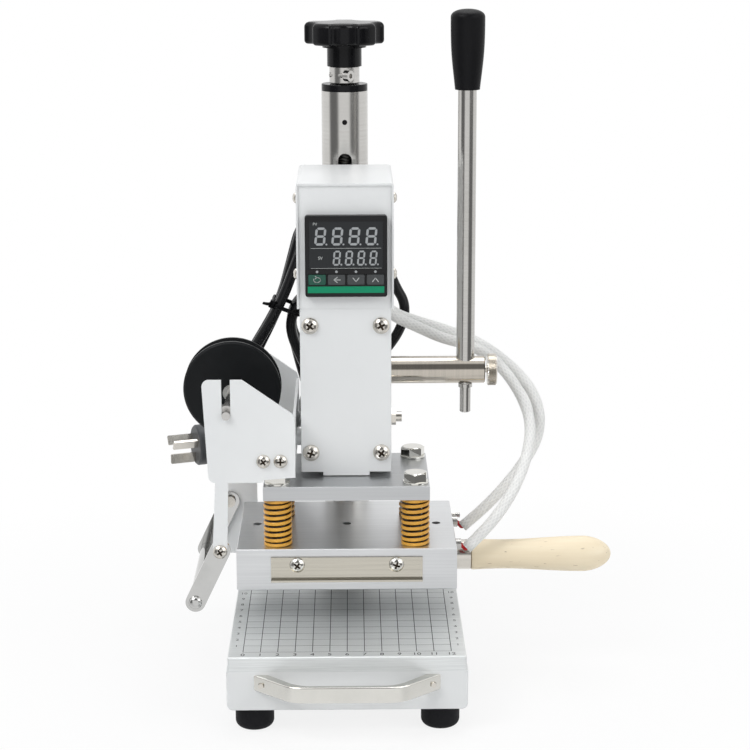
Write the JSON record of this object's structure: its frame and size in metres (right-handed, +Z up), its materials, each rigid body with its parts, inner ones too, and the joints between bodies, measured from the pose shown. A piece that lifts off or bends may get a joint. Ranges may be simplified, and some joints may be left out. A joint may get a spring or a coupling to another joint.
{
  "type": "hot foil stamping machine",
  "caption": "Bench-top foil press: screw-raised head with temperature controller on a column, lever and rack ram, spring-hung heated block, sliding grid table and foil roll holder.",
  "frame": {"origin": "the point on the bench straight under the ram's axis, where the press line meets the bench", "axes": "+Z up along the press line, +X to the operator's right, +Y away from the operator"},
  "size_m": [0.2829, 0.2659, 0.4052],
  "materials": {
    "white_paint": "smooth gloss enamel",
    "orange_paint": "orange-yellow enamel on spring steel",
    "aluminium": "brushed and milled",
    "stainless": "fine brushed",
    "steel": "ground and oiled",
    "nickel": "nickel plated",
    "brass": "machined bronze",
    "black_rubber": "soft black rubber",
    "cord_black": "flexible cord sheath",
    "black_gloss": "glossy moulded",
    "black_matte": "fine matte moulded",
    "window_dark": "smoked window",
    "key_plastic": "soft-touch key",
    "plug_grey": "moulded",
    "sleeve_white": "woven glass-fibre sleeve",
    "wood": "turned, clear lacquer"
  },
  "bodies": {
    "base": {"rubber_feet": "black_rubber", "base_pan": "white_paint", "rear_deck": "white_paint", "column_flange": "stainless", "base_screws": "steel", "column_tube": "stainless", "column_cap": "stainless"},
    "worktable": {"moving_rails": "steel", "table_plate": "aluminium", "table_front": "white_paint", "pull_handle": "nickel", "handle_screws": "nickel"},
    "knob": {"lead_screw": "steel", "adjust_collar": "stainless", "star_knob": "black_gloss"},
    "head": {"head_casting": "white_paint", "front_cover": "white_paint", "shaft_bushes": "brass", "lift_nut": "brass", "ram_lock_screw": "nickel", "control_box": "white_paint", "control_panel": "white_paint", "power_switch": "black_matte", "controller_body": "black_gloss", "display_window": "window_dark", "cord_glands": "black_matte", "foil_front_plate": "white_paint", "foil_bracket": "white_paint", "head_screws": "nickel", "mains_cord": "cord_black", "mains_hank": "cord_black", "mains_tail": "cord_black", "mains_plug": "plug_grey", "plug_pins": "nickel", "heater_lead_rear": "sleeve_white", "heater_lead_front": "sleeve_white"},
    "rocker": {"power_rocker": "black_gloss"},
    "key_one": {"key_set": "key_plastic"},
    "key_two": {"key_shift": "key_plastic"},
    "key_three": {"key_down": "key_plastic"},
    "key_four": {"key_up": "key_plastic"},
    "ram": {"ram_bar": "steel", "upper_plate": "aluminium", "die_springs": "orange_paint"},
    "heater": {"heating_block": "aluminium", "hanger_bolts": "nickel", "keeper_plate": "stainless", "heater_cartridges": "steel"},
    "die": {"die_plate": "aluminium", "die_ferrule": "nickel", "die_handle": "wood"},
    "lever": {"lever_shaft": "nickel", "pinion": "steel", "lever_rod": "stainless", "lever_grip": "black_matte"},
    "thumb": {"thumb_screw": "nickel"},
    "spool": {"spool_shaft": "steel", "spool_disc": "black_matte"},
    "guide": {"guide_arm": "nickel"},
    "roller": {"guide_roller": "nickel"}
  },
  "joints": [
    {"name": "worktable_slide", "type": "slide", "parent": "base", "child": "worktable", "axis": [0, -1, 0], "range_m": [0, 0.08]},
    {"name": "knob_turn", "type": "hinge", "parent": "base", "child": "knob", "pos_m": [0, 0.092, 0.38], "axis": [0, 0, 1], "range_deg": [-1801, 271]},
    {"name": "head_lift", "type": "slide", "parent": "base", "child": "head", "axis": [0, 0, 1], "range_m": [-0.0015, 0.01]},
    {"name": "lever_swing", "type": "hinge", "parent": "head", "child": "lever", "pos_m": [0, 0.029, 0.1864], "axis": [1, 0, 0], "range_deg": [0, 57]},
    {"name": "ram_slide", "type": "slide", "parent": "head", "child": "ram", "axis": [0, 0, 1], "range_m": [-0.015, 0]},
    {"name": "heater_float", "type": "slide", "parent": "ram", "child": "heater", "axis": [0, 0, 1], "range_m": [0, 0.003], "stiffness_N_per_m": 48000, "springref_m": -0.002, "deforming": ["die_springs"]},
    {"name": "die_slide", "type": "slide", "parent": "heater", "child": "die", "axis": [1, 0, 0], "range_m": [0, 0.12]},
    {"name": "thumb_turn", "type": "hinge", "parent": "lever", "child": "thumb", "pos_m": [0.0895, 0.029, 0.1864], "axis": [1, 0, 0], "range_deg": [0, 720]},
    {"name": "key_set_press", "type": "slide", "parent": "head", "child": "key_one", "axis": [0, 1, 0], "range_m": [0, 0.0006], "stiffness_N_per_m": 600},
    {"name": "key_shift_press", "type": "slide", "parent": "head", "child": "key_two", "axis": [0, 1, 0], "range_m": [0, 0.0006], "stiffness_N_per_m": 600},
    {"name": "key_down_press", "type": "slide", "parent": "head", "child": "key_three", "axis": [0, 1, 0], "range_m": [0, 0.0006], "stiffness_N_per_m": 600},
    {"name": "key_up_press", "type": "slide", "parent": "head", "child": "key_four", "axis": [0, 1, 0], "range_m": [0, 0.0006], "stiffness_N_per_m": 600},
    {"name": "rocker_tip", "type": "hinge", "parent": "head", "child": "rocker", "pos_m": [-0.014, 0.066, 0.284], "axis": [1, 0, 0], "range_deg": [-7, 7]},
    {"name": "spool_spin", "type": "hinge", "parent": "head", "child": "spool", "pos_m": [-0.07, 0, 0.1755], "axis": [0, 1, 0], "continuous": true},
    {"name": "guide_swing", "type": "hinge", "parent": "head", "child": "guide", "pos_m": [-0.0751, 0, 0.0919], "axis": [0, 1, 0], "range_deg": [-25, 40]},
    {"name": "roller_spin", "type": "hinge", "parent": "guide", "child": "roller", "pos_m": [-0.0906, 0, 0.0597], "axis": [0, 1, 0], "continuous": true}
  ],
  "couplings": [
    {"joint": "knob_turn", "follows": "head_lift", "rad_per_m": -3141.6},
    {"joint": "ram_slide", "follows": "lever_swing", "m_per_rad": -0.015}
  ]
}
